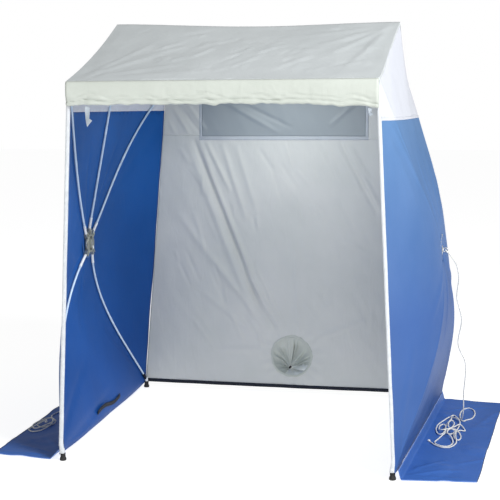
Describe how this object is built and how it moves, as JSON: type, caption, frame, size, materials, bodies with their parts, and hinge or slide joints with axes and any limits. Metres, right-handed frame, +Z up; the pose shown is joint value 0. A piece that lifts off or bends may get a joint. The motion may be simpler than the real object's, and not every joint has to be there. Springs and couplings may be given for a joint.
{
  "type": "pop-up hub tent",
  "caption": "Open-front pop-up tent with bowed side walls on hubbed fibreglass frames, pitched roof, rolled door, rear window and duct port, ground flaps and guy ropes.",
  "frame": {"origin": "middle of the footprint on the ground, under the ridge", "axes": "+X to the right seen from the open front, +Y to the rear wall, +Z up"},
  "size_m": [2.336, 1.6195, 1.98],
  "materials": {
    "blue_cloth": "matte",
    "white_cloth": "matte",
    "cream_cloth": "matte",
    "window_film": "satin",
    "white_webbing": "matte",
    "dark_webbing": "matte",
    "glass_fibre": "satin",
    "cast_alloy": "satin",
    "plated_steel": "satin",
    "black_rubber": "matte",
    "black_plastic": "matte",
    "guy_rope": "matte"
  },
  "bodies": {
    "root": {"cord_lock_body": "black_plastic", "front_eave_pole": "glass_fibre", "left_base_strap": "dark_webbing", "left_front_binding": "white_webbing", "left_front_eave_cap": "black_plastic", "left_front_foot_tip": "black_rubber", "left_gable": "white_cloth", "left_ground_flap": "blue_cloth", "left_guy_rope": "guy_rope", "left_rear_eave_cap": "black_plastic", "left_rear_foot_tip": "black_rubber", "left_ridge_cap": "black_plastic", "left_rope_pile": "guy_rope", "left_side_wall": "blue_cloth", "port_collar": "white_webbing", "port_sleeve": "white_cloth", "rear_base_webbing": "dark_webbing", "rear_eave_pole": "glass_fibre", "rear_wall": "white_cloth", "ridge_pole": "glass_fibre", "right_front_binding": "white_webbing", "right_front_eave_cap": "black_plastic", "right_front_foot_tip": "black_rubber", "right_gable": "white_cloth", "right_ground_flap": "blue_cloth", "right_guy_rope": "guy_rope", "right_rear_eave_cap": "black_plastic", "right_rear_foot_tip": "black_rubber", "right_ridge_cap": "black_plastic", "right_rope_pile": "guy_rope", "right_side_wall": "blue_cloth", "rolled_door": "cream_cloth", "roof_cloth": "white_cloth", "window_panel": "window_film"},
    "left_hub_set": {"left_hub": "cast_alloy", "left_hub_cover": "cast_alloy", "left_hub_patch": "blue_cloth", "left_hub_washer": "plated_steel", "left_eye_bolt": "plated_steel"},
    "left_front_eave_rod": {"left_rod_front_eave": "glass_fibre"},
    "left_ridge_rod": {"left_rod_ridge": "glass_fibre"},
    "left_rear_eave_rod": {"left_rod_rear_eave": "glass_fibre"},
    "left_rear_foot_rod": {"left_rod_rear_foot": "glass_fibre"},
    "left_front_foot_rod": {"left_rod_front_foot": "glass_fibre"},
    "right_hub_set": {"right_hub": "cast_alloy", "right_hub_cover": "cast_alloy", "right_hub_patch": "blue_cloth", "right_hub_washer": "plated_steel", "right_eye_bolt": "plated_steel"},
    "right_front_eave_rod": {"right_rod_front_eave": "glass_fibre"},
    "right_ridge_rod": {"right_rod_ridge": "glass_fibre"},
    "right_rear_eave_rod": {"right_rod_rear_eave": "glass_fibre"},
    "right_rear_foot_rod": {"right_rod_rear_foot": "glass_fibre"},
    "right_front_foot_rod": {"right_rod_front_foot": "glass_fibre"},
    "cord_lock_button": {"cord_lock_button": "black_plastic"},
    "left_tie": {"left_tie_strap": "white_webbing"},
    "right_tie": {"right_tie_strap": "white_webbing"}
  },
  "joints": [
    {"name": "left_hub_pop", "type": "slide", "parent": "root", "child": "left_hub_set", "axis": [1, 0, 0], "range_m": [0, 0.28]},
    {"name": "left_front_eave_rod_swing", "type": "hinge", "parent": "left_hub_set", "child": "left_front_eave_rod", "pos_m": [-0.88, -0.04188, 0.94996], "axis": [0, -0.7161, -0.698], "range_deg": [0, 16]},
    {"name": "left_ridge_rod_swing", "type": "hinge", "parent": "left_hub_set", "child": "left_ridge_rod", "pos_m": [-0.88, 0, 0.967], "axis": [0, -1, 0], "range_deg": [0, 16]},
    {"name": "left_rear_eave_rod_swing", "type": "hinge", "parent": "left_hub_set", "child": "left_rear_eave_rod", "pos_m": [-0.88, 0.04188, 0.94996], "axis": [0, -0.7161, 0.698], "range_deg": [0, 16]},
    {"name": "left_rear_foot_rod_swing", "type": "hinge", "parent": "left_hub_set", "child": "left_rear_foot_rod", "pos_m": [-0.88, 0.03973, 0.86204], "axis": [0, 0.7493, 0.6622], "range_deg": [0, 15]},
    {"name": "left_front_foot_rod_swing", "type": "hinge", "parent": "left_hub_set", "child": "left_front_foot_rod", "pos_m": [-0.88, -0.03973, 0.86204], "axis": [0, 0.7493, -0.6622], "range_deg": [0, 15]},
    {"name": "right_hub_pop", "type": "slide", "parent": "root", "child": "right_hub_set", "axis": [-1, 0, 0], "range_m": [0, 0.28]},
    {"name": "right_front_eave_rod_swing", "type": "hinge", "parent": "right_hub_set", "child": "right_front_eave_rod", "pos_m": [0.88, -0.04188, 0.94996], "axis": [0, 0.7161, 0.698], "range_deg": [0, 16]},
    {"name": "right_ridge_rod_swing", "type": "hinge", "parent": "right_hub_set", "child": "right_ridge_rod", "pos_m": [0.88, 0, 0.967], "axis": [0, 1, 0], "range_deg": [0, 16]},
    {"name": "right_rear_eave_rod_swing", "type": "hinge", "parent": "right_hub_set", "child": "right_rear_eave_rod", "pos_m": [0.88, 0.04188, 0.94996], "axis": [0, 0.7161, -0.698], "range_deg": [0, 16]},
    {"name": "right_rear_foot_rod_swing", "type": "hinge", "parent": "right_hub_set", "child": "right_rear_foot_rod", "pos_m": [0.88, 0.03973, 0.86204], "axis": [0, -0.7493, -0.6622], "range_deg": [0, 15]},
    {"name": "right_front_foot_rod_swing", "type": "hinge", "parent": "right_hub_set", "child": "right_front_foot_rod", "pos_m": [0.88, -0.03973, 0.86204], "axis": [0, -0.7493, 0.6622], "range_deg": [0, 15]},
    {"name": "cord_lock_press", "type": "slide", "parent": "root", "child": "cord_lock_button", "axis": [0, 1, 0], "range_m": [0, 0.003], "stiffness_N_per_m": 300},
    {"name": "left_tie_swing", "type": "hinge", "parent": "root", "child": "left_tie", "pos_m": [-0.59, -0.7895, 1.594], "axis": [1, 0, 0], "range_deg": [-60, 60]},
    {"name": "right_tie_swing", "type": "hinge", "parent": "root", "child": "right_tie", "pos_m": [0.64, -0.7895, 1.58], "axis": [1, 0, 0], "range_deg": [-60, 60]}
  ],
  "couplings": [
    {"joint": "left_front_eave_rod_swing", "follows": "left_hub_pop", "rad_per_m": 0.9058},
    {"joint": "left_ridge_rod_swing", "follows": "left_hub_pop", "rad_per_m": 0.9428},
    {"joint": "left_rear_eave_rod_swing", "follows": "left_hub_pop", "rad_per_m": 0.9082},
    {"joint": "left_rear_foot_rod_swing", "follows": "left_hub_pop", "rad_per_m": 0.8727},
    {"joint": "left_front_foot_rod_swing", "follows": "left_hub_pop", "rad_per_m": 0.8675},
    {"joint": "right_front_eave_rod_swing", "follows": "right_hub_pop", "rad_per_m": 0.9058},
    {"joint": "right_ridge_rod_swing", "follows": "right_hub_pop", "rad_per_m": 0.9428},
    {"joint": "right_rear_eave_rod_swing", "follows": "right_hub_pop", "rad_per_m": 0.9082},
    {"joint": "right_rear_foot_rod_swing", "follows": "right_hub_pop", "rad_per_m": 0.8727},
    {"joint": "right_front_foot_rod_swing", "follows": "right_hub_pop", "rad_per_m": 0.8675}
  ]
}
